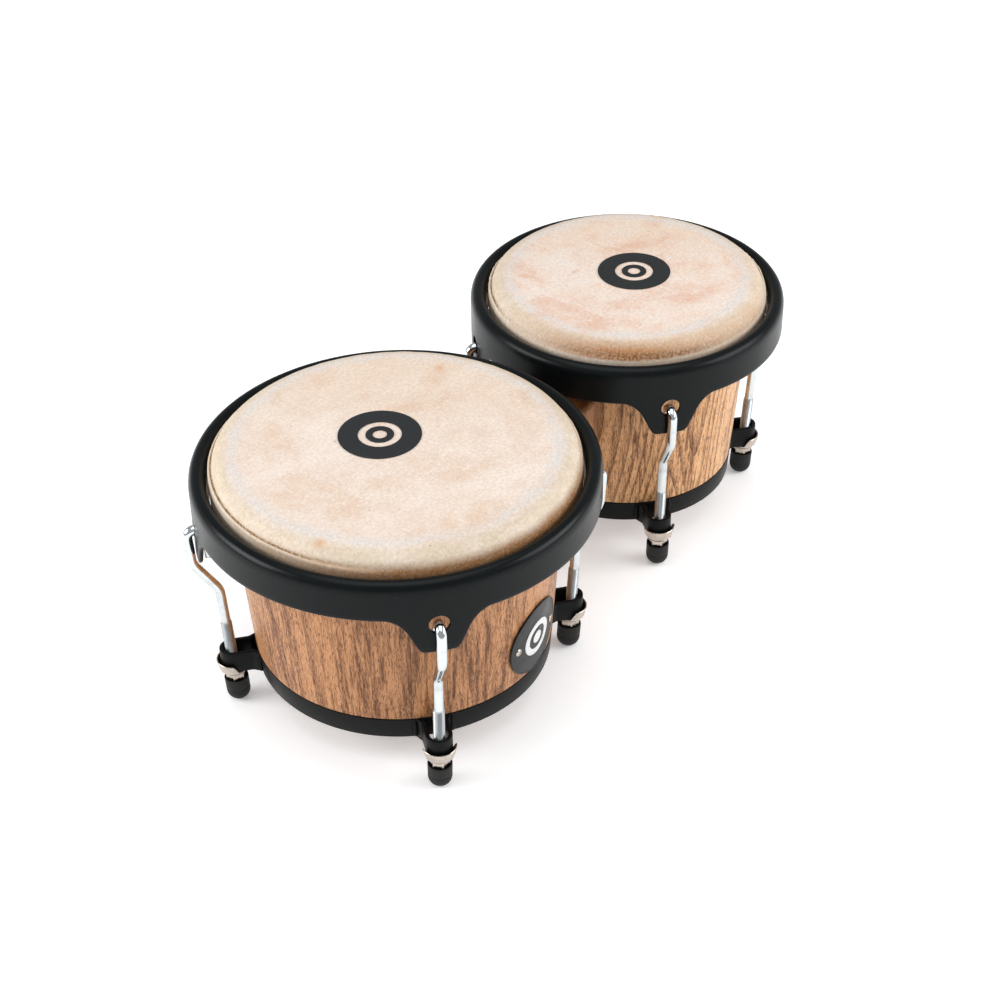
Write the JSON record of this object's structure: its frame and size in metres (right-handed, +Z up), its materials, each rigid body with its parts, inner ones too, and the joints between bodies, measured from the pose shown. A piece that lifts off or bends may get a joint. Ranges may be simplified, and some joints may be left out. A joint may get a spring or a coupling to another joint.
{
  "type": "bongo drums",
  "caption": "Pair of tapered wooden bongo drums with natural skin heads, rolled black rims, hook-bolt tuning lugs on rubber-booted nuts and a wooden centre block.",
  "frame": {"origin": "on the floor, at the centre of the pair's bounding box", "axes": "+X from the large drum to the small drum, +Z up along the drums' axes"},
  "size_m": [0.4674, 0.244, 0.1747],
  "materials": {
    "shell_wood": "satin lacquered open-pore hardwood",
    "block_wood": "satin lacquered hardwood",
    "skin": "natural rawhide, matte",
    "head_mark": "matte printed film",
    "black_steel": "satin black powder coat",
    "flesh_hoop": "plain steel",
    "chrome": "bright chrome, dull zinc on the thread",
    "nickel": "warm nickel plate",
    "zinc": "zinc plate",
    "rubber": "matte black rubber",
    "badge_plate": "satin grey-black plate"
  },
  "bodies": {
    "drums": {"shell_large": "shell_wood", "shell_small": "shell_wood", "head_large": "skin", "head_small": "skin", "head_mark_large": "head_mark", "head_mark_small": "head_mark", "ring_large": "black_steel", "ring_small": "black_steel", "badge": "badge_plate", "badge_screw_1": "nickel", "badge_screw_2": "nickel", "centre_block": "block_wood", "block_plate_large": "zinc", "block_plate_small": "zinc", "washer_large_1": "nickel", "washer_large_2": "nickel", "washer_large_3": "nickel", "washer_large_4": "nickel", "block_bolt_large_1": "zinc", "block_bolt_large_2": "zinc", "washer_small_1": "nickel", "washer_small_2": "nickel", "washer_small_3": "nickel", "washer_small_4": "nickel", "block_bolt_small_1": "zinc", "block_bolt_small_2": "zinc"},
    "rim_large": {"rim_large": "black_steel", "flesh_hoop_large": "flesh_hoop"},
    "hook_large_1": {"hook_large_1": "chrome"},
    "nut_large_1": {"nut_large_1": "nickel", "boot_large_1": "rubber"},
    "hook_large_2": {"hook_large_2": "chrome"},
    "nut_large_2": {"nut_large_2": "nickel", "boot_large_2": "rubber"},
    "hook_large_3": {"hook_large_3": "chrome"},
    "nut_large_3": {"nut_large_3": "nickel", "boot_large_3": "rubber"},
    "hook_large_4": {"hook_large_4": "chrome"},
    "nut_large_4": {"nut_large_4": "nickel", "boot_large_4": "rubber"},
    "rim_small": {"rim_small": "black_steel", "flesh_hoop_small": "flesh_hoop"},
    "hook_small_1": {"hook_small_1": "chrome"},
    "nut_small_1": {"nut_small_1": "nickel", "boot_small_1": "rubber"},
    "hook_small_2": {"hook_small_2": "chrome"},
    "nut_small_2": {"nut_small_2": "nickel", "boot_small_2": "rubber"},
    "hook_small_3": {"hook_small_3": "chrome"},
    "nut_small_3": {"nut_small_3": "nickel", "boot_small_3": "rubber"},
    "hook_small_4": {"hook_small_4": "chrome"},
    "nut_small_4": {"nut_small_4": "nickel", "boot_small_4": "rubber"}
  },
  "joints": [
    {"name": "nut_large_1_turn", "type": "hinge", "parent": "drums", "child": "nut_large_1", "pos_m": [-0.18059, -0.08204, 0.026], "axis": [-0.0392, -0.0468, 0.9981], "range_deg": [-720, 1440]},
    {"name": "hook_large_1_slide", "type": "slide", "parent": "drums", "child": "hook_large_1", "axis": [0.0392, 0.0468, -0.9981], "range_m": [-0.002, 0.004]},
    {"name": "nut_large_2_turn", "type": "hinge", "parent": "drums", "child": "nut_large_2", "pos_m": [-0.02971, -0.06884, 0.026], "axis": [0.0468, -0.0392, 0.9981], "range_deg": [-720, 1440]},
    {"name": "hook_large_2_slide", "type": "slide", "parent": "drums", "child": "hook_large_2", "axis": [-0.0468, 0.0392, -0.9981], "range_m": [-0.002, 0.004]},
    {"name": "nut_large_3_turn", "type": "hinge", "parent": "drums", "child": "nut_large_3", "pos_m": [-0.04291, 0.08204, 0.026], "axis": [0.0392, 0.0468, 0.9981], "range_deg": [-720, 1440]},
    {"name": "hook_large_3_slide", "type": "slide", "parent": "drums", "child": "hook_large_3", "axis": [-0.0392, -0.0468, -0.9981], "range_m": [-0.002, 0.004]},
    {"name": "nut_large_4_turn", "type": "hinge", "parent": "drums", "child": "nut_large_4", "pos_m": [-0.19379, 0.06884, 0.026], "axis": [-0.0468, 0.0392, 0.9981], "range_deg": [-720, 1440]},
    {"name": "hook_large_4_slide", "type": "slide", "parent": "drums", "child": "hook_large_4", "axis": [0.0468, -0.0392, -0.9981], "range_m": [-0.002, 0.004]},
    {"name": "rim_large_slide", "type": "slide", "parent": "drums", "child": "rim_large", "axis": [0, 0, -1], "range_m": [-0.002, 0.004]},
    {"name": "nut_small_1_turn", "type": "hinge", "parent": "drums", "child": "nut_small_1", "pos_m": [0.0733, -0.06787, 0.026], "axis": [-0.0392, -0.0468, 0.9981], "range_deg": [-720, 1440]},
    {"name": "hook_small_1_slide", "type": "slide", "parent": "drums", "child": "hook_small_1", "axis": [0.0392, 0.0468, -0.9981], "range_m": [-0.002, 0.004]},
    {"name": "nut_small_2_turn", "type": "hinge", "parent": "drums", "child": "nut_small_2", "pos_m": [0.19812, -0.05695, 0.026], "axis": [0.0468, -0.0392, 0.9981], "range_deg": [-720, 1440]},
    {"name": "hook_small_2_slide", "type": "slide", "parent": "drums", "child": "hook_small_2", "axis": [-0.0468, 0.0392, -0.9981], "range_m": [-0.002, 0.004]},
    {"name": "nut_small_3_turn", "type": "hinge", "parent": "drums", "child": "nut_small_3", "pos_m": [0.1872, 0.06787, 0.026], "axis": [0.0392, 0.0468, 0.9981], "range_deg": [-720, 1440]},
    {"name": "hook_small_3_slide", "type": "slide", "parent": "drums", "child": "hook_small_3", "axis": [-0.0392, -0.0468, -0.9981], "range_m": [-0.002, 0.004]},
    {"name": "nut_small_4_turn", "type": "hinge", "parent": "drums", "child": "nut_small_4", "pos_m": [0.06238, 0.05695, 0.026], "axis": [-0.0468, 0.0392, 0.9981], "range_deg": [-720, 1440]},
    {"name": "hook_small_4_slide", "type": "slide", "parent": "drums", "child": "hook_small_4", "axis": [0.0468, -0.0392, -0.9981], "range_m": [-0.002, 0.004]},
    {"name": "rim_small_slide", "type": "slide", "parent": "drums", "child": "rim_small", "axis": [0, 0, -1], "range_m": [-0.002, 0.004]}
  ],
  "couplings": [
    {"joint": "nut_large_1_turn", "follows": "rim_large_slide", "rad_per_m": 6283.2},
    {"joint": "hook_large_1_slide", "follows": "rim_large_slide", "ratio": 1},
    {"joint": "nut_large_2_turn", "follows": "rim_large_slide", "rad_per_m": 6283.2},
    {"joint": "hook_large_2_slide", "follows": "rim_large_slide", "ratio": 1},
    {"joint": "nut_large_3_turn", "follows": "rim_large_slide", "rad_per_m": 6283.2},
    {"joint": "hook_large_3_slide", "follows": "rim_large_slide", "ratio": 1},
    {"joint": "nut_large_4_turn", "follows": "rim_large_slide", "rad_per_m": 6283.2},
    {"joint": "hook_large_4_slide", "follows": "rim_large_slide", "ratio": 1},
    {"joint": "nut_small_1_turn", "follows": "rim_small_slide", "rad_per_m": 6283.2},
    {"joint": "hook_small_1_slide", "follows": "rim_small_slide", "ratio": 1},
    {"joint": "nut_small_2_turn", "follows": "rim_small_slide", "rad_per_m": 6283.2},
    {"joint": "hook_small_2_slide", "follows": "rim_small_slide", "ratio": 1},
    {"joint": "nut_small_3_turn", "follows": "rim_small_slide", "rad_per_m": 6283.2},
    {"joint": "hook_small_3_slide", "follows": "rim_small_slide", "ratio": 1},
    {"joint": "nut_small_4_turn", "follows": "rim_small_slide", "rad_per_m": 6283.2},
    {"joint": "hook_small_4_slide", "follows": "rim_small_slide", "ratio": 1}
  ]
}
